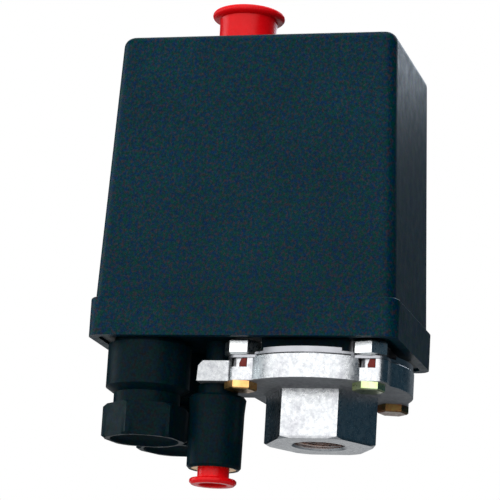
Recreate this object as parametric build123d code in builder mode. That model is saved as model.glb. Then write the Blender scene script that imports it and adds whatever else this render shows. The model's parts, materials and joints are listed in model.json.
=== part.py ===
from build123d import *
import os

# Pressure switch for an air compressor, with a pull-on / push-off knob.
# Millimetres. Origin at the centre of the pressure port's mouth, +Z up along the port,
# front towards -Y, cable glands towards -X. Drawn switched on and without pressure.

os.makedirs("parts", exist_ok=True)

# Cover
COVER_X = -14.5
SKIRT_W, SKIRT_D = 69.7, 41.4
SKIRT_LOW, SKIRT_HIGH = 20.7, 29.4
BODY_W, BODY_D = 67.9, 40.0
TOP_W, TOP_D = 63.0, 39.6
COVER_TOP = 90.0
WALL = 1.9

# Knob and its rod
KNOB_X = -22.1
KNOB_NECK_R, KNOB_RIM_R = 6.6, 8.35
KNOB_LOW, RIM_LOW, RIM_HIGH = 82.0, 99.1, 101.1
ROD_R = 2.0
ROD_LOW = 52.0

# Pressure flange
PORT_AF = 22.0
PORT_R, PORT_DEPTH = 5.75, 12.4
FLANGE_LOW, FLANGE_HIGH = 11.6, 17.3
ARM_LOW = 11.65
RIM_R = 20.2
LUG_TOP = 16.6
BOLTS = ((-15.1, -13.5), (13.5, -13.5), (13.4, 12.8), (-12.3, 14.0))
HEAD_LOW, HEAD_AF = 9.8, 6.2
NUT_AF, NUT_HEIGHT = 7.0, 3.4
NUT_TURNS = (-1, -14, -10, -10)
WINDOW_LOW = 14.6
RECESS_R, RECESS_FLOOR = 13.2, 16.4

# Steel frame
EAR_LOW, EAR_HIGH = 16.7, 17.3
DISH_LOW, DISH_HIGH = 17.33, 18.6
LIP_HIGH = 17.9
DISH_R = 19.9
ARM_IN, ARM_OUT = 11.3, 12.5
ARM_TOP = 60.4

# Lever
PIVOT_X, PIVOT_Z = 12.0, 27.5
LEVER_LOW, LEVER_HIGH = 24.2, 25.6

# Base and glands
BASE_LOW, BASE_HIGH = 21.2, 23.2
FRONT_GLAND = (-37.4, -10.0)
REAR_GLAND = (-35.4, 9.0)
SOCKET_R, NECK_R, THREAD_R, CABLE_BORE_R = 9.3, 7.4, 7.2, 5.8
SOCKET_LOW, NECK_HIGH = 10.5, 9.2
GLAND_AF = 16.6
GLAND_HEIGHT = 7.5
FRONT_NUT_LOW, REAR_NUT_LOW = -1.0, 0.0
GLAND_HOLE_R = 5.1

# Unloader valve
VALVE = (-21.5, -8.5)
VALVE_R = 6.05
VALVE_LOW, VALVE_HIGH = -6.9, 9.2
SPIGOT_R, SPIGOT_HIGH = 1.8, 16.1
SLEEVE_LOW = 16.5
TUBE_R = 3.05

# Contacts
BLOCK_TOP = 36.0
POLE_Y = (-10.5, -3.5, 3.5, 10.5)
CONTACT_X = -28.6
TERMINAL_X = -39.6


# ---------------------------------------------------------------- cover

with BuildPart() as cover:
    with BuildSketch(Plane.XY.offset(SKIRT_LOW)):
        with Locations((COVER_X, 0)):
            RectangleRounded(SKIRT_W, SKIRT_D, 3.4)
    extrude(amount=SKIRT_HIGH - SKIRT_LOW)
    fillet(cover.faces().sort_by(Axis.Z)[-1].edges(), 0.5)
    with BuildSketch(Plane.XY.offset(SKIRT_HIGH - 0.6)):
        with Locations((COVER_X, 0)):
            RectangleRounded(BODY_W, BODY_D, 3.1)
    with BuildSketch(Plane.XY.offset(COVER_TOP)):
        with Locations((COVER_X, 0)):
            RectangleRounded(TOP_W, TOP_D, 3.0)
    loft()
    fillet(cover.faces().sort_by(Axis.Z)[-1].edges(), 2.4)
    with BuildSketch(Plane.XY.offset(SKIRT_LOW - 1)):
        with Locations((COVER_X, 0)):
            RectangleRounded(SKIRT_W - 4.0, SKIRT_D - 4.0, 2.0)
    extrude(amount=SKIRT_HIGH - SKIRT_LOW - 0.6, mode=Mode.SUBTRACT)
    with BuildSketch(Plane.XY.offset(SKIRT_LOW)):
        with Locations((COVER_X, 0)):
            RectangleRounded(BODY_W - 2 * WALL, BODY_D - 2 * WALL, 1.8)
    with BuildSketch(Plane.XY.offset(COVER_TOP - WALL)):
        with Locations((COVER_X, 0)):
            RectangleRounded(TOP_W - 2 * WALL, TOP_D - 2 * WALL, 1.4)
    loft(mode=Mode.SUBTRACT)
    with BuildSketch(Plane.XY.offset(COVER_TOP - 3)):
        with Locations((KNOB_X, 0)):
            Circle(KNOB_NECK_R + 0.55)
        with Locations((10.5, 0)):
            Circle(2.2)
    extrude(amount=4, mode=Mode.SUBTRACT)
cover.part.label = "cover"
export_step(cover.part, "parts/cover.step")

with BuildPart() as cover_pillar:
    with BuildSketch(Plane.XY.offset(62.35)):
        with Locations((10.5, 0)):
            RegularPolygon(3.2, 6)
    extrude(amount=COVER_TOP - WALL - 0.1 - 62.35)
    with BuildSketch(Plane.XY.offset(COVER_TOP - WALL - 9)):
        with Locations((10.5, 0)):
            Circle(1.75)
    extrude(amount=9, mode=Mode.SUBTRACT)
cover_pillar.part.label = "cover_pillar"
export_step(cover_pillar.part, "parts/cover_pillar.step")

with BuildPart() as cover_screw:
    with Locations((10.5, 0, COVER_TOP + 1.2)):
        Cylinder(3.6, 2.3)
    fillet(cover_screw.faces().sort_by(Axis.Z)[-1].edges(), 0.8)
    with Locations((10.5, 0, COVER_TOP - 4)):
        Cylinder(1.7, 9)
    with Locations((10.5, 0, COVER_TOP + 2.2)):
        Box(6.0, 0.9, 1.6, mode=Mode.SUBTRACT)
cover_screw.part.label = "cover_screw"
export_step(cover_screw.part, "parts/cover_screw.step")


# ---------------------------------------------------------------- knob

with BuildPart() as knob:
    with BuildSketch(Plane.XZ):
        with BuildLine():
            Polyline(
                (ROD_R, KNOB_LOW + 1),
                (3.4, KNOB_LOW + 1),
                (3.4, RIM_LOW - 7),
                (5.2, RIM_LOW - 7),
                (5.2, KNOB_LOW),
                (KNOB_NECK_R - 0.1, KNOB_LOW),
                (KNOB_NECK_R, RIM_LOW - 2.4),
                (KNOB_NECK_R + 0.15, RIM_LOW),
                (KNOB_RIM_R - 0.8, RIM_LOW + 0.1),
                (KNOB_RIM_R, RIM_LOW + 0.8),
                (KNOB_RIM_R, RIM_HIGH - 0.8),
                (KNOB_RIM_R - 0.9, RIM_HIGH),
                (6.2, RIM_HIGH),
                (5.2, RIM_HIGH - 0.6),
                (0, RIM_HIGH - 0.9),
                (0, 94.6),
                (ROD_R, 94.6),
                close=True,
            )
        make_face()
    revolve(axis=Axis.Z)
knob.part = knob.part.moved(Location((KNOB_X, 0, 0)))
knob.part.label = "knob"
export_step(knob.part, "parts/knob.step")

with BuildPart() as knob_rod:
    with Locations((KNOB_X, 0, (ROD_LOW + 94.4) / 2)):
        Cylinder(ROD_R - 0.04, 94.4 - ROD_LOW)
    with Locations((KNOB_X, 0, ROD_LOW + 1)):
        Cylinder(3.2, 2)
    chamfer(knob_rod.faces().sort_by(Axis.Z)[-1].edges(), 0.4)
knob_rod.part.label = "knob_rod"
export_step(knob_rod.part, "parts/knob_rod.step")


# ---------------------------------------------------------------- pressure flange

# outline of the four corner lugs; the rear ones stand closer in
with BuildSketch() as lugs:
    Polygon((-18.3, -16.3), (17.8, -16.3), (16.7, 16.2), (-15.6, 17.0), align=None)
    fillet(lugs.vertices(), 2.6)

# wedge cut from the underside of the rim at the rear left, behind the valve
with BuildPart() as rim_relief:
    with BuildSketch(Plane.YZ.offset(-22)):
        Polygon((4.4, FLANGE_LOW - 0.1), (22, FLANGE_LOW - 0.1), (22, 15.3), (4.4, FLANGE_LOW), align=None)
    extrude(amount=9)

with BuildPart() as pressure_flange:
    with BuildSketch():
        RegularPolygon(PORT_AF / 2, 6, major_radius=False)
    extrude(amount=FLANGE_LOW + 0.5)
    with BuildSketch(Plane.XZ):
        Polygon((0, 0), (11.8, 0), (12.9, 0.6), (12.9, 13), (0, 13), align=None)
    revolve(axis=Axis.Z, mode=Mode.INTERSECT)
    # flare from the hexagon into the underside of the rim
    with BuildSketch(Plane.XY.offset(FLANGE_LOW - 0.6)):
        RegularPolygon(PORT_AF / 2, 6, major_radius=False)
    extrude(amount=0.7, taper=-45)
    # round rim, relieved below behind the valve
    with BuildSketch(Plane.XZ):
        Polygon(
            (0, FLANGE_LOW),
            (RIM_R - 0.15, FLANGE_LOW),
            (RIM_R, FLANGE_LOW + 0.15),
            (RIM_R, FLANGE_HIGH - 0.35),
            (RIM_R - 0.35, FLANGE_HIGH),
            (0, FLANGE_HIGH),
            align=None,
        )
    revolve(axis=Axis.Z)
    add(rim_relief.part, mode=Mode.SUBTRACT)
    with BuildSketch(Plane.XY.offset(FLANGE_LOW)):
        add(lugs.sketch)
    extrude(amount=LUG_TOP - FLANGE_LOW)
    # arm that carries the unloader valve
    with BuildSketch(Plane.XZ.offset(15.0)):
        Polygon((-24.8, ARM_LOW), (-16, ARM_LOW), (-16, 16.2), (-23.6, 16.2), (-24.6, 15.1), align=None)
    extrude(amount=-9.8)
    with Locations((VALVE[0], VALVE[1], 14)):
        Cylinder(SPIGOT_R + 0.04, 8, mode=Mode.SUBTRACT)
    # seat of the diaphragm, pressure chamber and port
    with BuildSketch(Plane.XY.offset(RECESS_FLOOR)):
        Circle(RECESS_R)
    extrude(amount=2, mode=Mode.SUBTRACT)
    with BuildSketch(Plane.XY.offset(13.7)):
        Circle(10.4)
    extrude(amount=4, mode=Mode.SUBTRACT)
    Cylinder(PORT_R, 2 * PORT_DEPTH, mode=Mode.SUBTRACT)
    Cylinder(1.6, 32, mode=Mode.SUBTRACT)
    with Locations((0, 0, 0.25)):
        Cone(PORT_R + 0.5, PORT_R, 0.5, mode=Mode.SUBTRACT)
    # corner lugs: ear pockets, bolt holes and windows beside the bolts
    with BuildSketch(Plane.XY.offset(LUG_TOP)):
        with Locations(BOLTS):
            Circle(5.2)
    extrude(amount=2, mode=Mode.SUBTRACT)
    with BuildSketch(Plane.XY.offset(FLANGE_LOW - 1)):
        with Locations(BOLTS):
            Circle(2.1)
    extrude(amount=8, mode=Mode.SUBTRACT)
    with BuildSketch(Plane.XY.offset(WINDOW_LOW)):
        for x, y in BOLTS:
            with Locations((x, y + (1.6 if y > 0 else -1.6))):
                Rectangle(3.8, 5.4)
    extrude(amount=2.5, mode=Mode.SUBTRACT)
pressure_flange.part.label = "pressure_flange"
export_step(pressure_flange.part, "parts/pressure_flange.step")

with BuildPart() as flange_screws:
    with BuildSketch(Plane.XY.offset(HEAD_LOW)):
        with Locations(BOLTS):
            RegularPolygon(HEAD_AF / 2, 6, major_radius=False, rotation=15)
    extrude(amount=FLANGE_LOW - 0.02 - HEAD_LOW)
    chamfer(flange_screws.faces().group_by(Axis.Z)[0].edges(), 0.3)
    with BuildSketch(Plane.XY.offset(FLANGE_LOW - 0.5)):
        with Locations(BOLTS):
            Circle(1.95)
    extrude(amount=20.85 - FLANGE_LOW + 0.5)
flange_screws.part.label = "flange_screws"
export_step(flange_screws.part, "parts/flange_screws.step")

with BuildPart() as flange_nuts:
    with BuildSketch(Plane.XY.offset(EAR_HIGH + 0.02)):
        for (x, y), turn in zip(BOLTS, NUT_TURNS):
            with Locations((x, y)):
                RegularPolygon(NUT_AF / 2, 6, major_radius=False, rotation=turn)
    extrude(amount=NUT_HEIGHT)
    chamfer(flange_nuts.faces().group_by(Axis.Z)[0].edges(), 0.45)
    chamfer(flange_nuts.faces().group_by(Axis.Z)[-1].edges(), 0.45)
    with BuildSketch(Plane.XY.offset(EAR_HIGH - 1)):
        with Locations(BOLTS):
            Circle(2.0)
    extrude(amount=6, mode=Mode.SUBTRACT)
flange_nuts.part.label = "flange_nuts"
export_step(flange_nuts.part, "parts/flange_nuts.step")

with BuildPart() as diaphragm:
    with BuildSketch(Plane.XY.offset(RECESS_FLOOR + 0.02)):
        Circle(RECESS_R - 0.1)
    extrude(amount=DISH_LOW - RECESS_FLOOR - 0.04)
diaphragm.part.label = "diaphragm"
export_step(diaphragm.part, "parts/diaphragm.step")

with BuildPart() as piston:
    with BuildSketch(Plane.XZ):
        Polygon(
            (0, DISH_LOW + 0.02),
            (10.4, DISH_LOW + 0.02),
            (10.4, 19.3),
            (4.4, 19.9),
            (3.4, 20.6),
            (3.4, 23.6),
            (2.2, 24.0),
            (0, 24.1),
            align=None,
        )
    revolve(axis=Axis.Z)
piston.part.label = "piston"
export_step(piston.part, "parts/piston.step")


# ---------------------------------------------------------------- steel frame

with BuildPart() as frame_bracket:
    with BuildSketch(Plane.XY.offset(DISH_LOW)):
        Circle(DISH_R)
        with Locations(BOLTS):
            Circle(7.0, mode=Mode.SUBTRACT)
    extrude(amount=DISH_HIGH - DISH_LOW)
    # thinner corners and ears stepped down to take the nuts
    with BuildSketch(Plane.XY.offset(DISH_LOW)):
        Circle(DISH_R)
        with Locations(BOLTS):
            Circle(4.4, mode=Mode.SUBTRACT)
    extrude(amount=LIP_HIGH - DISH_LOW)
    with BuildSketch(Plane.XY.offset(EAR_LOW)):
        with Locations(BOLTS):
            Circle(5.0)
        add(lugs.sketch, mode=Mode.INTERSECT)
        with Locations(BOLTS):
            Circle(2.1, mode=Mode.SUBTRACT)
    extrude(amount=EAR_HIGH - EAR_LOW)
    with BuildSketch(Plane.XY.offset(EAR_LOW)):
        with Locations(BOLTS):
            Circle(5.0)
            Circle(4.4, mode=Mode.SUBTRACT)
        Circle(DISH_R, mode=Mode.INTERSECT)
    extrude(amount=LIP_HIGH - EAR_LOW)
    # two upright arms with feet on the base and tenons for the bridge
    with BuildSketch(Plane.XZ):
        with BuildLine():
            Polyline(
                (-7.0, DISH_LOW + 0.5),
                (9.4, DISH_LOW + 0.5),
                (9.4, 21.8),
                (15.5, 21.8),
                (15.5, 34.0),
                (9.0, 40.0),
                (9.0, ARM_TOP),
                (2.0, ARM_TOP),
                (2.0, ARM_TOP + 2.4),
                (-2.0, ARM_TOP + 2.4),
                (-2.0, ARM_TOP),
                (-7.0, ARM_TOP),
                close=True,
            )
        make_face()
        with Locations((PIVOT_X, PIVOT_Z)):
            Circle(1.53, mode=Mode.SUBTRACT)
    extrude(amount=ARM_OUT, both=True)
    with Locations((2, 0, DISH_HIGH)):
        Box(40, 2 * ARM_IN, 60, align=(Align.CENTER, Align.CENTER, Align.MIN), mode=Mode.SUBTRACT)
    with Locations((0, 0, DISH_LOW)):
        Cylinder(10.8, 4, mode=Mode.SUBTRACT)
    for side in (-1, 1):
        with Locations((-10.0, side * 10.35, BASE_HIGH + 0.7)):
            Box(7.2, 4.3, 1.2)
        with Locations((-10.6, side * 10.35, BASE_HIGH)):
            Cylinder(1.7, 5, mode=Mode.SUBTRACT)
    with Locations((3, -12, 44)):
        Cylinder(1.98, 4, rotation=(90, 0, 0), mode=Mode.SUBTRACT)
frame_bracket.part.label = "frame_bracket"
export_step(frame_bracket.part, "parts/frame_bracket.step")

with BuildPart() as spring_bridge:
    with BuildSketch(Plane.XY.offset(ARM_TOP + 0.05)):
        with Locations((3.5, 0)):
            RectangleRounded(21, 27.6, 2)
        Circle(3.1, mode=Mode.SUBTRACT)
        with GridLocations(0, 2 * 11.9, 1, 2):
            Rectangle(4.3, 1.5, mode=Mode.SUBTRACT)
    extrude(amount=1.8)
spring_bridge.part.label = "spring_bridge"
export_step(spring_bridge.part, "parts/spring_bridge.step")

with BuildPart() as lever_pin:
    with BuildSketch(Plane.XZ.offset(14.0)):
        with Locations((PIVOT_X, PIVOT_Z)):
            Circle(2.6)
    extrude(amount=-1.2)
    with BuildSketch(Plane.XZ.offset(13.5)):
        with Locations((PIVOT_X, PIVOT_Z)):
            Circle(1.5)
    extrude(amount=-28.0)
lever_pin.part.label = "lever_pin"
export_step(lever_pin.part, "parts/lever_pin.step")

with BuildPart() as lever_clip:
    with BuildSketch(Plane.XZ.offset(-12.7)):
        with Locations((PIVOT_X, PIVOT_Z)):
            Circle(3.0)
            Circle(1.55, mode=Mode.SUBTRACT)
        with Locations((PIVOT_X, PIVOT_Z + 2.5)):
            Rectangle(1.6, 2.6, mode=Mode.SUBTRACT)
    extrude(amount=-0.7)
lever_clip.part.label = "lever_clip"
export_step(lever_clip.part, "parts/lever_clip.step")

with BuildPart() as earth_screw:
    with Locations((3, -13.7, 44)):
        Cylinder(3.4, 2.2, rotation=(90, 0, 0))
    with Locations((3, -12.6, 44)):
        Cylinder(1.95, 4.2, rotation=(90, 0, 0))
    with Locations((3, -14.6, 44)):
        Box(5.4, 1.4, 0.9, mode=Mode.SUBTRACT)
        Box(0.9, 1.4, 5.4, mode=Mode.SUBTRACT)
earth_screw.part.label = "earth_screw"
export_step(earth_screw.part, "parts/earth_screw.step")


# ---------------------------------------------------------------- lever and range spring

with BuildPart() as main_lever:
    with BuildSketch(Plane.XY.offset(LEVER_LOW)):
        with Locations((-4.5, 0)):
            Rectangle(39, 13)
        with Locations((12.0, 0)):
            Rectangle(6.8, 19.6)
        with Locations((-21.3, -7.4)):
            RectangleRounded(5.4, 7.0, 1.0)
    extrude(amount=LEVER_HIGH - LEVER_LOW)
    with BuildSketch(Plane.XZ):
        with Locations((PIVOT_X, PIVOT_Z - 0.1)):
            RectangleRounded(6.8, 6.4, 2.0)
    extrude(amount=9.8, both=True)
    with Locations((PIVOT_X, 0, PIVOT_Z + 3.1)):
        Box(8, 17.2, 10, mode=Mode.SUBTRACT)
    with Locations((PIVOT_X, 0, PIVOT_Z)):
        Cylinder(1.56, 30, rotation=(90, 0, 0), mode=Mode.SUBTRACT)
    # upturned end with a tongue for the contact carriage
    with Locations((-23.3, 0, (LEVER_LOW + 41.8) / 2)):
        Box(1.4, 8, 41.8 - LEVER_LOW)
    with Locations((-25.8, 0, 41.2)):
        Box(6.4, 8, 1.2)
main_lever.part.label = "main_lever"
export_step(main_lever.part, "parts/main_lever.step")

with BuildPart() as spring_seat:
    with Locations((0, 0, LEVER_HIGH + 0.72)):
        Cylinder(6.3, 1.4)
    with Locations((0, 0, LEVER_HIGH + 2.0)):
        Cylinder(3.6, 2.4)
    chamfer(spring_seat.faces().sort_by(Axis.Z)[-1].edges(), 0.6)
spring_seat.part.label = "spring_seat"
export_step(spring_seat.part, "parts/spring_seat.step")

with BuildPart() as range_spring:
    with BuildLine() as coil:
        Helix(pitch=3.25, height=21.1, radius=4.9, center=(0, 0, 27.95))
    with BuildSketch(Plane(coil.line @ 0, z_dir=coil.line % 0)):
        Circle(0.8)
    sweep()
range_spring.part.label = "range_spring"
export_step(range_spring.part, "parts/range_spring.step")

with BuildPart() as spring_plate:
    with BuildSketch(Plane.XY.offset(50)):
        RectangleRounded(15, 21.8, 1.5)
        Circle(3.05, mode=Mode.SUBTRACT)
    extrude(amount=3)
spring_plate.part.label = "spring_plate"
export_step(spring_plate.part, "parts/spring_plate.step")

with BuildPart() as range_screw:
    with Locations((0, 0, 49.4)):
        Cylinder(3.0, 35.6)
    with Locations((0, 0, 59.2)):
        Cylinder(5.2, 2.0)
    with Locations((0, 0, 66.5)):
        Box(7, 1.1, 2.6, mode=Mode.SUBTRACT)
    chamfer(range_screw.faces().sort_by(Axis.Z)[0].edges(), 0.5)
range_screw.part.label = "range_screw"
export_step(range_screw.part, "parts/range_screw.step")


# ---------------------------------------------------------------- base and cable glands

with BuildPart() as base:
    with BuildSketch(Plane.XY.offset(BASE_LOW)):
        with Locations((COVER_X, 0)):
            RectangleRounded(SKIRT_W - 4.6, SKIRT_D - 4.6, 1.8)
    extrude(amount=BASE_HIGH - BASE_LOW)
    with BuildSketch(Plane.XY.offset(BASE_HIGH)):
        with Locations((COVER_X, 0)):
            RectangleRounded(61.8, 33.8, 1.6)
            RectangleRounded(59.4, 31.4, 1.0, mode=Mode.SUBTRACT)
    extrude(amount=2.6)
    with BuildSketch(Plane.XY.offset(SOCKET_LOW)):
        with Locations(FRONT_GLAND, REAR_GLAND):
            Circle(SOCKET_R)
    extrude(amount=20.0 - SOCKET_LOW)
    with BuildSketch(Plane.XY.offset(20.0)):
        with Locations(FRONT_GLAND, REAR_GLAND):
            Circle(SOCKET_R - 1.3)
    extrude(amount=1.5)
    for place, nut_low in ((FRONT_GLAND, FRONT_NUT_LOW), (REAR_GLAND, REAR_NUT_LOW)):
        with Locations((place[0], place[1], (SOCKET_LOW + NECK_HIGH) / 2)):
            Cone(NECK_R, SOCKET_R, SOCKET_LOW - NECK_HIGH)
        neck_low = nut_low + GLAND_HEIGHT + 0.2
        with Locations((place[0], place[1], (NECK_HIGH + neck_low) / 2)):
            Cylinder(NECK_R, NECK_HIGH - neck_low)
        thread_low = nut_low + 2.7
        with Locations((place[0], place[1], (NECK_HIGH + thread_low) / 2)):
            Cylinder(THREAD_R, NECK_HIGH - thread_low)
        with Locations((place[0], place[1], 12)):
            Cylinder(CABLE_BORE_R, 30, mode=Mode.SUBTRACT)
    # openings for the mechanism and the frame's screws
    with BuildSketch(Plane.XY.offset(BASE_LOW - 1)):
        with Locations((3.1, 0)):
            RectangleRounded(25.4, 26.2, 1.0)
        with Locations((-10.6, -10.35), (-10.6, 10.35)):
            Circle(1.45)
    extrude(amount=6.4, mode=Mode.SUBTRACT)
    # lips in front of and behind the frame's arms
    for side, left_end in ((-1, -10.7), (1, -7.6)):
        with Locations(((left_end + 8.9) / 2, side * 13.8, (DISH_HIGH + 0.1 + BASE_LOW) / 2)):
            Box(8.9 - left_end, 1.2, BASE_LOW - DISH_HIGH - 0.1)
    # guide sleeve of the valve pin
    with Locations((VALVE[0], VALVE[1], (SLEEVE_LOW + BASE_HIGH) / 2)):
        Cylinder(3.2, BASE_HIGH - SLEEVE_LOW)
        Cylinder(1.3, 12, mode=Mode.SUBTRACT)
base.part.label = "base"
export_step(base.part, "parts/base.step")

with BuildPart() as base_screws:
    for side in (-1, 1):
        with Locations((-10.6, side * 10.35, BASE_HIGH + 2.25)):
            Cylinder(2.7, 1.8)
        with Locations((-10.6, side * 10.35, 23.0)):
            Cylinder(1.4, 3.6)
        with Locations((-10.6, side * 10.35, BASE_HIGH + 3.0)):
            Box(4.0, 0.8, 1.2, mode=Mode.SUBTRACT)
base_screws.part.label = "base_screws"
export_step(base_screws.part, "parts/base_screws.step")

with BuildPart() as gland_nut_front:
    with BuildSketch():
        RegularPolygon(GLAND_AF / 2, 6, major_radius=False)
    extrude(amount=GLAND_HEIGHT)
    with BuildSketch(Plane.XZ):
        Polygon((0, 0), (8.8, 0), (9.6, 0.45), (9.6, 6.9), (8.9, 7.5), (0, 7.5), align=None)
    revolve(axis=Axis.Z, mode=Mode.INTERSECT)
    with Locations((0, 0, 2.5)):
        Cylinder(THREAD_R + 0.05, 10, align=(Align.CENTER, Align.CENTER, Align.MIN), mode=Mode.SUBTRACT)
    Cylinder(GLAND_HOLE_R, 20, mode=Mode.SUBTRACT)
    chamfer(gland_nut_front.edges().filter_by(GeomType.CIRCLE).group_by(Axis.Z)[0].sort_by(SortBy.RADIUS)[0], 0.7)
gland_nut_rear = gland_nut_front.part.moved(Location((REAR_GLAND[0], REAR_GLAND[1], REAR_NUT_LOW), (0, 0, 4)))
gland_nut_front.part = gland_nut_front.part.moved(
    Location((FRONT_GLAND[0], FRONT_GLAND[1], FRONT_NUT_LOW), (0, 0, 20.5))
)
gland_nut_front.part.label = "gland_nut_front"
export_step(gland_nut_front.part, "parts/gland_nut_front.step")
gland_nut_rear.label = "gland_nut_rear"
export_step(gland_nut_rear, "parts/gland_nut_rear.step")

with BuildPart() as gland_seals:
    for place, nut_low in ((FRONT_GLAND, FRONT_NUT_LOW), (REAR_GLAND, REAR_NUT_LOW)):
        with Locations((place[0], place[1], nut_low + 2.75)):
            Cylinder(5.7, 4.5, align=(Align.CENTER, Align.CENTER, Align.MIN))
            Cylinder(3.6, 4.5, align=(Align.CENTER, Align.CENTER, Align.MIN), mode=Mode.SUBTRACT)
gland_seals.part.label = "gland_seals"
export_step(gland_seals.part, "parts/gland_seals.step")

with BuildPart() as gland_washers:
    for place, nut_low in ((FRONT_GLAND, FRONT_NUT_LOW), (REAR_GLAND, REAR_NUT_LOW)):
        with Locations((place[0], place[1], nut_low + 2.52)):
            Cylinder(7.1, 0.16, align=(Align.CENTER, Align.CENTER, Align.MIN))
            Cylinder(4.4, 0.16, align=(Align.CENTER, Align.CENTER, Align.MIN), mode=Mode.SUBTRACT)
gland_washers.part.label = "gland_washers"
export_step(gland_washers.part, "parts/gland_washers.step")


# ---------------------------------------------------------------- unloader valve

with BuildPart() as unloader_body:
    with BuildSketch(Plane.XZ):
        with BuildLine():
            Polyline(
                (5.0, VALVE_LOW),
                (VALVE_R - 0.5, VALVE_LOW),
                (VALVE_R - 0.05, VALVE_LOW + 0.5),
                (VALVE_R + 0.05, 5.6),
                (VALVE_R + 0.3, VALVE_HIGH - 0.5),
                (VALVE_R - 0.1, VALVE_HIGH),
                (4.4, VALVE_HIGH),
                (4.4, ARM_LOW - 0.1),
                (SPIGOT_R, ARM_LOW - 0.1),
                (SPIGOT_R, SPIGOT_HIGH),
                (1.1, SPIGOT_HIGH),
                (1.1, 9.6),
                (2.6, 9.6),
                (2.6, 1.6),
                (1.3, 1.6),
                (1.3, 0.6),
                (4.45, 0.6),
                (4.45, -4.35),
                (5.0, -4.35),
                close=True,
            )
        make_face()
    revolve(axis=Axis.Z)
unloader_body.part = unloader_body.part.moved(Location((VALVE[0], VALVE[1], 0)))
unloader_body.part.label = "unloader_body"
export_step(unloader_body.part, "parts/unloader_body.step")

with BuildPart() as unloader_ring:
    with Locations((VALVE[0], VALVE[1], -5.6)):
        Cylinder(4.95, 2.4)
        Cylinder(3.6, 2.4, mode=Mode.SUBTRACT)
unloader_ring.part.label = "unloader_ring"
export_step(unloader_ring.part, "parts/unloader_ring.step")

with BuildPart() as release_collar:
    with BuildSketch(Plane.XZ):
        with BuildLine():
            Polyline(
                (TUBE_R, -10.1),
                (TUBE_R + 0.3, -10.4),
                (4.7, -10.4),
                (5.2, -9.9),
                (5.2, -9.35),
                (4.95, -9.1),
                (3.8, -9.1),
                (3.5, -8.8),
                (3.5, -5.2),
                (TUBE_R, -5.2),
                close=True,
            )
        make_face()
    revolve(axis=Axis.Z)
release_collar.part = release_collar.part.moved(Location((VALVE[0], VALVE[1], 0)))
release_collar.part.label = "release_collar"
export_step(release_collar.part, "parts/release_collar.step")

with BuildPart() as grab_ring:
    with Locations((VALVE[0], VALVE[1], -3.1)):
        Cylinder(4.4, 0.4)
        Cylinder(3.15, 0.4, mode=Mode.SUBTRACT)
        with PolarLocations(3.3, 8):
            Box(0.9, 0.5, 0.6, mode=Mode.SUBTRACT)
grab_ring.part.label = "grab_ring"
export_step(grab_ring.part, "parts/grab_ring.step")

with BuildPart() as tube_o_ring:
    with Locations((VALVE[0], VALVE[1], -1.1)):
        Torus(3.74, 0.66)
tube_o_ring.part.label = "tube_o_ring"
export_step(tube_o_ring.part, "parts/tube_o_ring.step")

with BuildPart() as unloader_pin:
    with BuildSketch(Plane.XZ):
        with BuildLine():
            Polyline(
                (0, 1.3),
                (0.6, 1.3),
                (1.0, 2.0),
                (1.0, 5.6),
                (2.4, 5.6),
                (2.4, 7.1),
                (1.03, 7.4),
                (1.03, 23.6),
                (0.6, 24.05),
                (0, 24.05),
                close=True,
            )
        make_face()
    revolve(axis=Axis.Z)
unloader_pin.part = unloader_pin.part.moved(Location((VALVE[0], VALVE[1], 0)))
unloader_pin.part.label = "unloader_pin"
export_step(unloader_pin.part, "parts/unloader_pin.step")

with BuildPart() as unloader_spring:
    with BuildLine() as coil:
        Helix(pitch=0.9, height=3.2, radius=1.9, center=(VALVE[0], VALVE[1], 2.0))
    with BuildSketch(Plane(coil.line @ 0, z_dir=coil.line % 0)):
        Circle(0.28)
    sweep()
unloader_spring.part.label = "unloader_spring"
export_step(unloader_spring.part, "parts/unloader_spring.step")


# ---------------------------------------------------------------- terminals and contacts

with BuildPart() as terminal_block:
    with Locations((-34.3, 0, 32.8)):
        Box(18.6, 31.0, 6.4)
    with Locations((-34.3, 0, 26.45)):
        with GridLocations(15.8, 28.4, 2, 2):
            Box(2.8, 2.6, 6.3)
    with BuildSketch(Plane.XY.offset(BLOCK_TOP)):
        with Locations((-39.0, 0)):
            with GridLocations(0, 7, 1, 3):
                Rectangle(10.4, 1.4)
    extrude(amount=3.0)
    with BuildSketch(Plane.XY.offset(30)):
        for y in POLE_Y:
            with Locations((TERMINAL_X, y)):
                Circle(1.7)
    extrude(amount=10, mode=Mode.SUBTRACT)
terminal_block.part.label = "terminal_block"
export_step(terminal_block.part, "parts/terminal_block.step")

with BuildPart() as terminal_strips:
    with BuildSketch(Plane.XY.offset(BLOCK_TOP + 0.03)):
        for y in POLE_Y:
            with Locations((-34.9, y)):
                Rectangle(17.0, 4.6)
            with Locations((TERMINAL_X, y)):
                Circle(1.75, mode=Mode.SUBTRACT)
    extrude(amount=0.8)
terminal_strips.part.label = "terminal_strips"
export_step(terminal_strips.part, "parts/terminal_strips.step")

with BuildPart() as terminal_screws:
    for y in POLE_Y:
        with Locations((TERMINAL_X, y, BLOCK_TOP + 2.0)):
            Cylinder(2.6, 2.2)
        with Locations((TERMINAL_X, y, BLOCK_TOP - 1.4)):
            Cylinder(1.62, 6.8)
        with Locations((TERMINAL_X, y, BLOCK_TOP + 2.9)):
            Box(3.8, 0.8, 1.2, mode=Mode.SUBTRACT)
            Box(0.8, 3.8, 1.2, mode=Mode.SUBTRACT)
terminal_screws.part.label = "terminal_screws"
export_step(terminal_screws.part, "parts/terminal_screws.step")

with BuildPart() as fixed_contacts:
    for y in POLE_Y:
        with Locations((CONTACT_X, y, BLOCK_TOP + 1.2)):
            Cylinder(1.6, 0.7)
            chamfer(fixed_contacts.faces().sort_by(Axis.Z)[-1].edges(), 0.15)
fixed_contacts.part.label = "fixed_contacts"
export_step(fixed_contacts.part, "parts/fixed_contacts.step")

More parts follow.
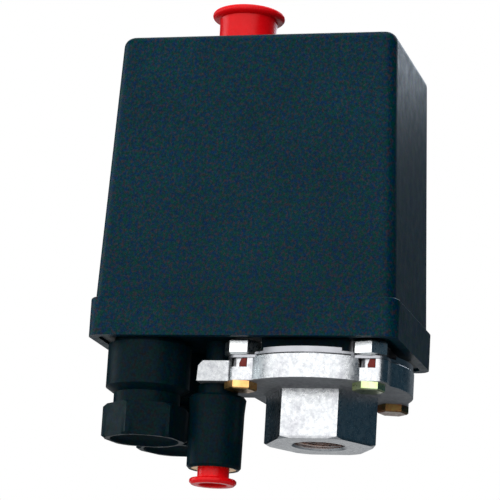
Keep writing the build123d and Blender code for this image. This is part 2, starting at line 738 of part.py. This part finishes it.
with BuildPart() as moving_contacts:
    for y in POLE_Y:
        with Locations((CONTACT_X, y, BLOCK_TOP + 1.68)):
            Cylinder(1.6, 0.16)
moving_contacts.part.label = "moving_contacts"
export_step(moving_contacts.part, "parts/moving_contacts.step")

with BuildPart() as contact_bridges:
    for side in (-1, 1):
        with Locations((CONTACT_X, side * 7, 38.2)):
            Box(4.2, 11.2, 0.8)
        with Locations((CONTACT_X, side * 7, 40.2)):
            Cylinder(1.0, 3.4)
contact_bridges.part.label = "contact_bridges"
export_step(contact_bridges.part, "parts/contact_bridges.step")

with BuildPart() as contact_carriage:
    with Locations((-28.8, 0, 41.7)):
        Box(6.4, 28.4, 5.2)
    with Locations((-27.6, 0, 41.2)):
        Box(4.2, 8.8, 2.0, mode=Mode.SUBTRACT)
    with Locations((CONTACT_X, -7, 40.7), (CONTACT_X, 7, 40.7)):
        Cylinder(2.5, 3.4, mode=Mode.SUBTRACT)
contact_carriage.part.label = "contact_carriage"
export_step(contact_carriage.part, "parts/contact_carriage.step")

with BuildPart() as contact_springs:
    for side in (-1, 1):
        with BuildLine(mode=Mode.PRIVATE) as coil:
            Helix(pitch=0.95, height=2.9, radius=1.85, center=(CONTACT_X, side * 7, 38.98))
        with BuildSketch(Plane(coil.line @ 0, z_dir=coil.line % 0)):
            Circle(0.25)
        sweep(path=coil.line)
contact_springs.part.label = "contact_springs"
export_step(contact_springs.part, "parts/contact_springs.step")

with BuildPart() as contact_cover:
    with Locations((-30.6, 0, 55.7)):
        Box(26.0, 29.6, 3.0)
    with Locations((-29.0, -14.9, 45.2), (-29.0, 14.9, 45.2)):
        Box(6.0, 1.0, 18.2)
    with Locations((-42.5, -14.2, 45.2), (-42.5, 14.2, 45.2)):
        Box(2.0, 1.6, 18.2)
    with Locations((KNOB_X, 0, 60.4)):
        Cylinder(4.6, 6.6)
    with Locations((KNOB_X, 0, 58)):
        Cylinder(ROD_R + 0.03, 20, mode=Mode.SUBTRACT)
contact_cover.part.label = "contact_cover"
export_step(contact_cover.part, "parts/contact_cover.step")
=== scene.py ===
import json
import math

import bmesh
import bpy
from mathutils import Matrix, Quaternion, Vector


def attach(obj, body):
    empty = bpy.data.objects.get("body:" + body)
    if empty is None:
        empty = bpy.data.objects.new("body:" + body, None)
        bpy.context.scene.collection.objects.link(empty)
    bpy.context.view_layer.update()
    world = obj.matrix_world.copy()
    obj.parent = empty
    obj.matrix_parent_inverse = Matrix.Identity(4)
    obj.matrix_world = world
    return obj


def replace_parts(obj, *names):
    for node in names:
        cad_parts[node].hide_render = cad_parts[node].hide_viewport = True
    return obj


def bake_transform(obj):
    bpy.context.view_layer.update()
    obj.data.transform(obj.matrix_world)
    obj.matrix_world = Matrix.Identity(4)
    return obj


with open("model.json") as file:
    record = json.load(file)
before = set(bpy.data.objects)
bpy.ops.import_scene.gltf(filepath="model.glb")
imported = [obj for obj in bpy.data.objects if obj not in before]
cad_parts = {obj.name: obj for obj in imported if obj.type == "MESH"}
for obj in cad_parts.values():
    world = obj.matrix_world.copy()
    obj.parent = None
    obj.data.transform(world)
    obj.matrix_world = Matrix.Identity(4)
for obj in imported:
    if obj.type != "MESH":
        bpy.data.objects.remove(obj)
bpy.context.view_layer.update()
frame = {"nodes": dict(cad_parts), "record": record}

# Looks of an air-compressor pressure switch, in metres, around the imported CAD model.

MM = 0.001
CAD = frame["nodes"]
SMOOTH_BELOW = math.radians(38)


# ---------------------------------------------------------------- shader helpers

class Shader:
    """A principled material and the few node chains that every finish here is made of."""

    def __init__(self, name, metallic=0.0, ior=1.5, specular=0.5):
        self.material = bpy.data.materials.new(name)
        self.material.use_nodes = True
        self.tree = self.material.node_tree
        self.bsdf = self.tree.nodes["Principled BSDF"]
        self.bsdf.inputs["Metallic"].default_value = metallic
        self.bsdf.inputs["IOR"].default_value = ior
        self.bsdf.inputs["Specular IOR Level"].default_value = specular
        self.place = self.tree.nodes.new("ShaderNodeTexCoord").outputs["Object"]
        self.normal = None

    def node(self, kind, **values):
        made = self.tree.nodes.new(kind)
        for key, value in values.items():
            setattr(made, key, value)
        return made

    def stretch(self, scale):
        """Object coordinates stretched along each axis."""
        mapping = self.node("ShaderNodeMapping")
        mapping.inputs["Scale"].default_value = scale
        self.tree.links.new(self.place, mapping.inputs["Vector"])
        return mapping.outputs["Vector"]

    def noise(self, size, detail=3.0, rough=0.55, where=None):
        """Noise whose features are about size metres across, from 0 to 1."""
        made = self.node("ShaderNodeTexNoise")
        made.inputs["Scale"].default_value = 1.0 / size
        made.inputs["Detail"].default_value = detail
        made.inputs["Roughness"].default_value = rough
        self.tree.links.new(where or self.place, made.inputs["Vector"])
        return made.outputs["Fac"]

    def axis(self, index):
        """One object coordinate: 0 is X, 1 is Y, 2 is Z."""
        split = self.node("ShaderNodeSeparateXYZ")
        self.tree.links.new(self.place, split.inputs[0])
        return split.outputs[index]

    def off_axis(self):
        """Distance from the axis of the pressure port."""
        flat = self.node("ShaderNodeVectorMath", operation="LENGTH")
        self.tree.links.new(self.stretch((1.0, 1.0, 0.0)), flat.inputs[0])
        return flat.outputs["Value"]

    def remap(self, value, low, high, to_low, to_high):
        made = self.node("ShaderNodeMapRange")
        for socket, number in zip(made.inputs[1:5], (low, high, to_low, to_high)):
            socket.default_value = number
        self.tree.links.new(value, made.inputs[0])
        return made.outputs[0]

    def within(self, value, low, high, share):
        """share between two limits and 0 outside them, with a short ramp at each."""
        edge = 0.06 * MM
        rise = self.remap(value, low - edge, low, 0.0, share)
        fall = self.remap(value, high, high + edge, 1.0, 0.0)
        made = self.node("ShaderNodeMath", operation="MULTIPLY")
        self.tree.links.new(rise, made.inputs[0])
        self.tree.links.new(fall, made.inputs[1])
        return made.outputs[0]

    def ramp(self, value, *stops):
        made = self.node("ShaderNodeValToRGB")
        elements = made.color_ramp.elements
        while len(elements) < len(stops):
            elements.new(0.5)
        for element, (position, colour) in zip(elements, stops):
            element.position = position
            element.color = (*colour, 1.0)
        self.tree.links.new(value, made.inputs["Fac"])
        return made.outputs["Color"]

    def mix(self, share, first, second, how="MIX"):
        made = self.node("ShaderNodeMix", data_type="RGBA", blend_type=how)
        for socket, value in zip((made.inputs[0], made.inputs[6], made.inputs[7]), (share, first, second)):
            if isinstance(value, bpy.types.NodeSocket):
                self.tree.links.new(value, socket)
            elif isinstance(value, (int, float)):
                socket.default_value = value
            else:
                socket.default_value = (*value, 1.0)
        return made.outputs[2]

    def colour(self, value):
        self.tree.links.new(value, self.bsdf.inputs["Base Color"])

    def roughness(self, value):
        self.tree.links.new(value, self.bsdf.inputs["Roughness"])

    def bump(self, height, depth):
        """Adds relief whose full height is depth metres."""
        made = self.node("ShaderNodeBump")
        made.inputs["Strength"].default_value = 1.0
        made.inputs["Distance"].default_value = depth
        self.tree.links.new(height, made.inputs["Height"])
        if self.normal is not None:
            self.tree.links.new(self.normal, made.inputs["Normal"])
        self.normal = made.outputs["Normal"]
        self.tree.links.new(self.normal, self.bsdf.inputs["Normal"])


# ---------------------------------------------------------------- materials

def mottled(s, blue, green, warm, size):
    """Colour that drifts from blue to green in small clouds, with warm specks and a fine grain."""
    clouds = s.ramp(s.noise(size, detail=3, rough=0.6), (0.36, blue), (0.62, green))
    speck = s.remap(s.noise(0.8 * size, detail=2, where=s.stretch((1.3, 0.8, 1.1))), 0.50, 0.68, 0.0, 1.0)
    speckled = s.mix(speck, clouds, warm)
    fine = s.ramp(s.noise(0.35 * size, detail=2), (0.3, (0.62, 0.62, 0.62)), (0.7, (1.35, 1.35, 1.35)))
    return s.mix(1.0, speckled, fine, "MULTIPLY")


def grained_abs():
    """Teal-black moulded plastic with a spark-eroded grain and cloudy colour."""
    s = Shader("grained_abs", specular=0.05)
    tint = mottled(s, (0.000, 0.017, 0.058), (0.000, 0.034, 0.026), (0.026, 0.021, 0.030), 1.1 * MM)
    broad = s.ramp(s.noise(22 * MM, detail=2), (0.3, (0.88, 0.88, 0.88)), (0.7, (1.12, 1.12, 1.12)))
    s.colour(s.mix(1.0, tint, broad, "MULTIPLY"))
    s.roughness(s.remap(s.noise(3 * MM), 0.3, 0.7, 0.33, 0.45))
    s.bump(s.noise(0.42 * MM, detail=2), 0.05 * MM)
    s.bump(s.noise(14 * MM, detail=1), 0.10 * MM)
    return s.material


def black_nylon():
    """Smoother black nylon, for the base, the gland nuts and the valve."""
    s = Shader("black_nylon", specular=0.05)
    s.colour(mottled(s, (0.000, 0.008, 0.019), (0.000, 0.013, 0.012), (0.006, 0.007, 0.009), 1.3 * MM))
    s.roughness(s.remap(s.noise(2.2 * MM), 0.3, 0.7, 0.34, 0.48))
    s.bump(s.noise(0.5 * MM, detail=2), 0.012 * MM)
    return s.material


def red_gloss():
    s = Shader("red_gloss", specular=0.18)
    s.colour(s.ramp(
        s.noise(4 * MM, detail=3),
        (0.3, (0.84, 0.001, 0.004)),
        (0.7, (0.97, 0.004, 0.008)),
    ))
    s.roughness(s.remap(s.noise(1.5 * MM), 0.3, 0.7, 0.24, 0.36))
    s.bump(s.noise(1.2 * MM, detail=2), 0.012 * MM)
    return s.material


def cast_zinc():
    """Bright die-cast zinc: cloudy grain, fine pits and a few darker stains, with painted shade under the
    flange and in the port's mouth, and a darker arm.
    """
    s = Shader("cast_zinc", metallic=1.0)
    grain = s.ramp(
        s.noise(0.9 * MM, detail=5, rough=0.7),
        (0.30, (0.46, 0.47, 0.49)),
        (0.52, (0.66, 0.67, 0.68)),
        (0.75, (0.84, 0.84, 0.83)),
    )
    stains = s.ramp(s.noise(6 * MM, detail=3), (0.32, (0.80, 0.79, 0.81)), (0.52, (1.0, 1.0, 1.0)))
    stained_and_shaded = s.mix(1.0, grain, stains, "MULTIPLY")
    # The arm is darkened beyond x -17 mm, by a share of 0.30 towards near black at x -19 mm.
    arm = s.remap(s.axis(0), -19 * MM, -17 * MM, 0.30, 0.0)
    # Painted shade: the flange's underside, z 10.98 to 11.68 mm, and the port's mouth, below z 0.7 mm, are
    # darkened towards near black.
    underside_shade = s.within(s.axis(2), 10.98 * MM, 11.68 * MM, 0.55)
    mouth = s.remap(s.axis(2), 0.3 * MM, 0.7 * MM, 0.35, 0.0)
    for share in (arm, underside_shade, mouth):
        stained_and_shaded = s.mix(share, stained_and_shaded, (0.03, 0.03, 0.04))
    sealant = s.ramp(s.noise(1.6 * MM, detail=3), (0.36, (0.62, 0.22, 0.09)), (0.64, (0.70, 0.52, 0.42)))
    side = s.mix(s.remap(s.axis(0), -1.5 * MM, 2.5 * MM, 0.0, 1.0), sealant, (0.66, 0.66, 0.68))
    s.colour(s.mix(s.remap(s.off_axis(), 5.6 * MM, 5.9 * MM, 0.8, 0.0), stained_and_shaded, side))
    polish = s.remap(s.noise(1.1 * MM, detail=4), 0.3, 0.7, 0.22, 0.35)
    dulled = s.node("ShaderNodeMath", operation="ADD", use_clamp=True)
    s.tree.links.new(polish, dulled.inputs[0])
    s.tree.links.new(underside_shade, dulled.inputs[1])
    s.roughness(dulled.outputs[0])
    s.bump(s.noise(0.7 * MM, detail=4, rough=0.6), 0.025 * MM)
    return s.material


def plated(name, low, high, smooth=0.22, dull=0.36):
    """Plated or passivated steel whose colour drifts between two tints."""
    s = Shader(name, metallic=1.0)
    s.colour(s.ramp(s.noise(2.5 * MM, detail=4, rough=0.65), (0.3, low), (0.7, high)))
    s.roughness(s.remap(s.noise(0.9 * MM, detail=4), 0.3, 0.7, smooth, dull))
    s.bump(s.noise(0.6 * MM, detail=3), 0.008 * MM)
    return s.material


def yellow_passivation():
    """Iridescent passivation: gold at the left, pale green at the right, red-brown behind and darkened
    there as painted shade; grey shanks; darker below z 10 mm.
    """
    s = Shader("yellow_passivation", metallic=1.0)
    drift = s.noise(2.2 * MM, detail=3, rough=0.6)
    gold = s.ramp(drift, (0.34, (0.92, 0.42, 0.14)), (0.66, (0.95, 0.62, 0.24)))
    green = s.ramp(drift, (0.34, (0.62, 0.72, 0.30)), (0.66, (0.74, 0.86, 0.52)))
    # The red-brown passivation of the heads behind is darkened as painted shade.
    brown = s.ramp(drift, (0.34, (0.26, 0.06, 0.03)), (0.66, (0.30, 0.22, 0.07)))
    grey = s.ramp(drift, (0.34, (0.52, 0.52, 0.54)), (0.66, (0.72, 0.72, 0.72)))
    front = s.mix(s.remap(s.axis(0), -2 * MM, 2 * MM, 0.0, 1.0), gold, green)
    heads = s.mix(s.remap(s.axis(1), -2 * MM, 2 * MM, 0.0, 1.0), front, brown)
    coloured = s.mix(s.remap(s.axis(2), 11.5 * MM, 11.7 * MM, 0.0, 1.0), heads, grey)
    # The heads' lower faces, below z 10 mm, are darkened by a share of 0.65.
    s.colour(s.mix(s.remap(s.axis(2), 9.9 * MM, 10.1 * MM, 0.65, 0.0), coloured, (0.05, 0.03, 0.02)))
    s.roughness(s.remap(s.noise(0.8 * MM, detail=4), 0.3, 0.7, 0.24, 0.40))
    s.bump(s.noise(0.5 * MM, detail=3), 0.008 * MM)
    return s.material


def rolled_steel():
    """Zinc-plated sheet with faint rolling lines."""
    s = Shader("rolled_steel", metallic=1.0)
    sheet = s.ramp(s.noise(3 * MM, detail=4), (0.3, (0.44, 0.44, 0.46)), (0.7, (0.58, 0.58, 0.61)))
    # Darkened below z 19.2 mm, by a share of 0.25 under z 18.7 mm, along the sheet's lower strip.
    s.colour(s.mix(s.remap(s.axis(2), 18.7 * MM, 19.2 * MM, 0.25, 0.0), sheet, (0.10, 0.11, 0.12)))
    s.roughness(s.remap(s.noise(1.5 * MM), 0.3, 0.7, 0.28, 0.42))
    s.bump(s.noise(0.5 * MM, detail=3, where=s.stretch((0.1, 1.0, 1.0))), 0.008 * MM)
    return s.material


def rubber(name, dark, light):
    s = Shader(name, specular=0.3)
    s.colour(s.ramp(s.noise(1.8 * MM, detail=3), (0.3, dark), (0.7, light)))
    s.roughness(s.remap(s.noise(1.2 * MM), 0.3, 0.7, 0.60, 0.78))
    s.bump(s.noise(0.35 * MM, detail=2), 0.02 * MM)
    return s.material


def moulding(name, dark, light, smooth=0.42, dull=0.58):
    s = Shader(name, specular=0.4)
    s.colour(s.ramp(s.noise(1.4 * MM, detail=4), (0.3, dark), (0.7, light)))
    s.roughness(s.remap(s.noise(1.6 * MM), 0.3, 0.7, smooth, dull))
    s.bump(s.noise(0.4 * MM, detail=2), 0.015 * MM)
    return s.material


FINISHES = {
    "black_abs": grained_abs(),
    "black_nylon": black_nylon(),
    "red_plastic": red_gloss(),
    "zinc": cast_zinc(),
    "passivated_steel": yellow_passivation(),
    "white_zinc": plated("white_zinc_plating", (0.80, 0.82, 0.84), (0.93, 0.94, 0.92)),
    "steel": rolled_steel(),
    "spring_steel": plated("spring_wire", (0.28, 0.28, 0.30), (0.44, 0.43, 0.42), 0.26, 0.42),
    "brass": plated("turned_brass", (0.72, 0.38, 0.12), (0.88, 0.54, 0.20)),
    "silver": plated("contact_silver", (0.76, 0.75, 0.72), (0.92, 0.91, 0.88), 0.18, 0.34),
    "diaphragm_rubber": rubber("red_brown_rubber", (0.14, 0.018, 0.014), (0.24, 0.030, 0.022)),
    "black_rubber": rubber("seal_rubber", (0.008, 0.008, 0.009), (0.018, 0.018, 0.018)),
    "phenolic": moulding("brown_phenolic", (0.035, 0.022, 0.016), (0.060, 0.040, 0.028)),
    "ivory_plastic": moulding("ivory_nylon", (0.52, 0.47, 0.36), (0.64, 0.59, 0.47)),
}


def dress_cad_nodes():
    """Gives every CAD node the detailed finish of its material slot."""
    for part in frame["record"]["subparts"]:
        slots = CAD[part["node"]].data.materials
        for index in range(len(slots)):
            slots[index] = FINISHES[part["material_slot"]]


# ---------------------------------------------------------------- pieces built here

def finished(name, build, slot_name, body=None):
    """Turns a bmesh into a piece with the finish of a slot and its sharp edges kept.

    It rides a body if one is given, and none otherwise.
    """
    bmesh.ops.recalc_face_normals(build, faces=build.faces)
    for face in build.faces:
        face.smooth = True
    for edge in build.edges:
        edge.smooth = edge.calc_face_angle(0.0) < SMOOTH_BELOW
    mesh = bpy.data.meshes.new(name)
    build.to_mesh(mesh)
    build.free()
    piece = bpy.data.objects.new(name, mesh)
    bpy.context.scene.collection.objects.link(piece)
    mesh.materials.append(FINISHES[slot_name])
    if body:
        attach(piece, body)
    return piece


def bridge(build, ring, following):
    """Quads between two closed rings of vertices, or a fan if one of them is a single point."""
    count = max(len(ring), len(following))
    for index in range(count):
        after = (index + 1) % count
        corners = [ring[index % len(ring)], ring[after % len(ring)]]
        corners += [following[after % len(following)], following[index % len(following)]]
        build.faces.new(dict.fromkeys(corners))


KNOB_AXIS = -22.1 * MM
TEETH = 84
KNOB_PROFILE = (
    (0.0, 94.6), (2.0, 94.6), (2.0, 83.0), (3.4, 83.0), (3.4, 92.1), (5.2, 92.1), (5.2, 82.0), (6.5, 82.0),
    (6.54, 89.0), (6.6, 97.4), (6.64, 98.5), (6.75, 99.1), (7.2, 99.16), (7.7, 99.28), (8.05, 99.5),
    (8.28, 99.8), (8.35, 100.1), (8.28, 100.45), (8.05, 100.75), (7.7, 100.95), (7.2, 101.1), (6.4, 101.1),
    (6.1, 101.02), (5.2, 100.5), (2.5, 100.25), (0.0, 100.2),
)


def serrated_knob():
    """The knob turned from its profile, with fine teeth round the rim."""
    build = bmesh.new()
    columns = 4 * TEETH
    rings = []
    for radius, height in KNOB_PROFILE:
        if radius == 0.0:
            rings.append([build.verts.new((KNOB_AXIS, 0.0, height * MM))])
            continue
        depth = max(0.0, min(0.09, 0.18 * (radius - 7.8)))
        ring = []
        for column in range(columns):
            turn = 2 * math.pi * column / columns
            reach = (radius - (depth if column % 4 in (0, 1) else 0.0)) * MM
            ring.append(build.verts.new((
                KNOB_AXIS + reach * math.cos(turn), reach * math.sin(turn), height * MM,
            )))
        rings.append(ring)
    for ring, following in zip(rings, rings[1:]):
        bridge(build, ring, following)
    piece = finished("serrated_knob", build, "red_plastic", "knob")
    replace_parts(piece, "knob")


# The CAD's gland nut, but for the dish: the last five points run from the hole out to the mouth's edge.
GLAND_ACROSS_FLATS = 16.6
GLAND_COLUMNS = 144
GLAND_PROFILE = (
    (8.8, 0.0), (9.6, 0.45), (9.6, 6.9), (8.9, 7.5), (7.25, 7.5), (7.25, 2.5), (5.1, 2.5), (5.1, 2.1),
    (5.5, 1.9), (6.9, 1.25), (7.35, 0.8), (7.55, 0.25), (7.75, 0.0),
)


def gland_nut(name, node, place, low, turn):
    """A hexagon gland nut with a wide dished mouth below."""
    build = bmesh.new()
    rings = []
    for radius, height in GLAND_PROFILE:
        ring = []
        for column in range(GLAND_COLUMNS):
            angle = 2 * math.pi * column / GLAND_COLUMNS
            flat = GLAND_ACROSS_FLATS / 2 / math.cos(angle % (math.pi / 3) - math.pi / 6)
            reach = min(radius, flat)
            ring.append(build.verts.new((
                (place[0] + reach * math.cos(angle + turn)) * MM,
                (place[1] + reach * math.sin(angle + turn)) * MM,
                (low + height) * MM,
            )))
        rings.append(ring)
    for ring, following in zip(rings, rings[1:] + rings[:1]):
        bridge(build, ring, following)
    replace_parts(finished(name, build, "black_nylon", "housing"), node)


def coil_spring():
    """The CAD's range spring once more, a wound wire that rides no body."""
    build = bmesh.new()
    bottom, height, pitch, reach, wire = 27.95, 21.1, 3.25, 4.9, 0.8
    per_turn, sides = 48, 14
    steps = round(height / pitch * per_turn)
    slope = math.atan2(pitch, 2 * math.pi * reach)
    rings = []
    for step in range(steps + 1):
        turn = 2 * math.pi * height / pitch * step / steps
        ring = []
        for side in range(sides):
            out = wire * math.cos(2 * math.pi * side / sides)
            up = wire * math.sin(2 * math.pi * side / sides)
            along = -up * math.sin(slope)
            ring.append(build.verts.new((
                ((reach + out) * math.cos(turn) - along * math.sin(turn)) * MM,
                ((reach + out) * math.sin(turn) + along * math.cos(turn)) * MM,
                (bottom + height * step / steps + up * math.cos(slope)) * MM,
            )))
        rings.append(ring)
    for ring, following in zip(rings, rings[1:]):
        bridge(build, ring, following)
    build.faces.new(rings[0])
    build.faces.new(rings[-1])
    spring = finished("coil_spring", build, "spring_steel")
    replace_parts(spring, "range_spring")
    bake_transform(spring)


def port_thread():
    """The pipe thread of the pressure port, a ridge wound up the bore and faded out at both ends."""
    build = bmesh.new()
    pitch, turns, steps = 1.337 * MM, 7, 72
    rings = []
    for step in range(turns * steps + 1):
        along = step / (turns * steps)
        fade = min(1.0, 9.0 * along, 9.0 * (1.0 - along))
        crest = (5.79 - 0.42 * fade) * MM
        base = (0.12 + 0.46 * fade) * MM
        turn = 2 * math.pi * step / steps
        height = 0.75 * MM + pitch * step / steps
        section = ((5.83 * MM, -base), (crest, -0.1 * MM), (crest, 0.1 * MM), (5.83 * MM, base))
        rings.append([
            build.verts.new((radius * math.cos(turn), radius * math.sin(turn), height + rise))
            for radius, rise in section
        ])
    for ring, following in zip(rings, rings[1:]):
        bridge(build, ring, following)
    build.faces.new(rings[0])
    build.faces.new(rings[-1])
    finished("port_thread", build, "zinc", "housing")


def diaphragm_corners():
    """The uneven corners of the red rubber sheet that show in the two front windows."""
    build = bmesh.new()
    outline = (
        (0.15, 14.66), (1.05, 14.64), (1.78, 14.66), (1.82, 15.3), (1.76, 16.0), (1.80, 16.5),
        (1.1, 16.56), (0.5, 16.5), (0.32, 15.9), (0.05, 15.4),
    )
    for bolt in (-15.1, 13.5):
        rings = []
        for shrink, depth in ((0.12, -16.2), (0.0, -16.08), (0.0, -15.72), (0.12, -15.6)):
            rings.append([
                build.verts.new((
                    (bolt + 0.95 + (x - 0.95) * (1 - shrink)) * MM,
                    (depth + 0.08 * math.sin(5 * z)) * MM,
                    (15.6 + (z - 15.6) * (1 - shrink)) * MM,
                ))
                for x, z in outline
            ])
        for ring, following in zip(rings, rings[1:]):
            bridge(build, ring, following)
        build.faces.new(rings[0])
        build.faces.new(rings[-1])
    finished("diaphragm_corners", build, "diaphragm_rubber", "housing")


# ---------------------------------------------------------------- stage, lights and camera

TARGET = Vector((-18.55, 0.0, 44.77)) * MM
AZIMUTH, ELEVATION, ROLL = math.radians(15.42), math.radians(-13.40), math.radians(3.44)
DISTANCE = 0.59143
LENS = 187.93
SENSOR_WIDTH = 36.0


def direction(azimuth, elevation):
    """Unit vector from the object towards an azimuth and elevation; azimuth 0 is -Y, 90 is +X."""
    return Vector((
        math.sin(azimuth) * math.cos(elevation),
        -math.cos(azimuth) * math.cos(elevation),
        math.sin(elevation),
    ))


def add_camera():
    data = bpy.data.cameras.new("photo_camera")
    data.lens = LENS
    data.sensor_width = SENSOR_WIDTH
    camera = bpy.data.objects.new("photo_camera", data)
    bpy.context.scene.collection.objects.link(camera)
    back = direction(AZIMUTH, ELEVATION)
    camera.location = TARGET + back * DISTANCE
    camera.rotation_mode = "QUATERNION"
    camera.rotation_quaternion = (-back).to_track_quat("-Z", "Y") @ Quaternion((0, 0, 1), ROLL)
    data.clip_start = 0.05
    bpy.context.scene.camera = camera


def softbox(name, azimuth, elevation, distance, width, height, radiance, tint=(1.0, 1.0, 1.0)):
    """A rectangular soft light that faces the object and that the camera doesn't see."""
    data = bpy.data.lights.new(name, "AREA")
    data.shape = "RECTANGLE"
    data.size, data.size_y = width, height
    data.energy = radiance * math.pi * width * height
    data.color = tint
    light = bpy.data.objects.new(name, data)
    bpy.context.scene.collection.objects.link(light)
    towards = direction(math.radians(azimuth), math.radians(elevation))
    light.location = TARGET + towards * distance
    light.rotation_mode = "QUATERNION"
    light.rotation_quaternion = (-towards).to_track_quat("-Z", "Y")
    light.visible_camera = False


# name, azimuth, elevation, distance, width, height, radiance and, where it isn't white, tint
LIGHTS = (
    ("front_left", -34, 12, 0.85, 0.95, 0.9, 1.6),
    ("front_right", 20, 12, 0.85, 0.80, 0.9, 1.6),
    ("left", -90, 12, 0.9, 0.46, 0.7, 2.6, (0.90, 1.0, 1.03)),
    ("top", 20, 75, 0.9, 0.6, 0.6, 3.0),
    ("back_right", 164, 39, 0.30, 0.22, 0.16, 2.7, (0.86, 0.95, 1.08)),
    ("back", 178, 10, 0.9, 0.8, 0.7, 0.12),
    ("back_top", 202, 50, 0.8, 0.6, 0.4, 1.1),
    ("back_low", 200, -16, 0.8, 0.7, 0.4, 0.55),
)


def add_world():
    """White behind the object for the camera, and a dimmer even light from all round."""
    world = bpy.data.worlds.new("studio")
    bpy.context.scene.world = world
    world.use_nodes = True
    nodes, links = world.node_tree.nodes, world.node_tree.links
    background = nodes["Background"]
    path = nodes.new("ShaderNodeLightPath")
    pick = nodes.new("ShaderNodeMix")
    pick.data_type = "RGBA"
    pick.inputs[6].default_value = (0.014, 0.036, 0.054, 1.0)
    pick.inputs[7].default_value = (1.0, 1.0, 1.0, 1.0)
    links.new(path.outputs["Is Camera Ray"], pick.inputs[0])
    links.new(pick.outputs[2], background.inputs["Color"])


def add_floor():
    """A wide pale floor well below the object, which hangs free above it."""
    bpy.ops.mesh.primitive_circle_add(vertices=96, radius=4.0, fill_type="NGON", location=(0, 0, -0.6))
    floor = bpy.context.object
    floor.name = "floor"
    s = Shader("pale_floor", specular=0.2)
    s.colour(s.ramp(s.noise(0.4, detail=2), (0.3, (0.80, 0.80, 0.80)), (0.7, (0.84, 0.84, 0.84))))
    s.roughness(s.remap(s.noise(0.2), 0.3, 0.7, 0.7, 0.8))
    floor.data.materials.append(s.material)


bpy.context.scene.view_settings.view_transform = "Standard"
dress_cad_nodes()
serrated_knob()
gland_nut("dished_nut_front", "gland_nut_front", (-37.4, -10.0), -1.0, math.radians(20.5))
gland_nut("dished_nut_rear", "gland_nut_rear", (-35.4, 9.0), 0.0, math.radians(4))
coil_spring()
port_thread()
diaphragm_corners()
add_world()
add_floor()
for light in LIGHTS:
    softbox(*light)
add_camera()
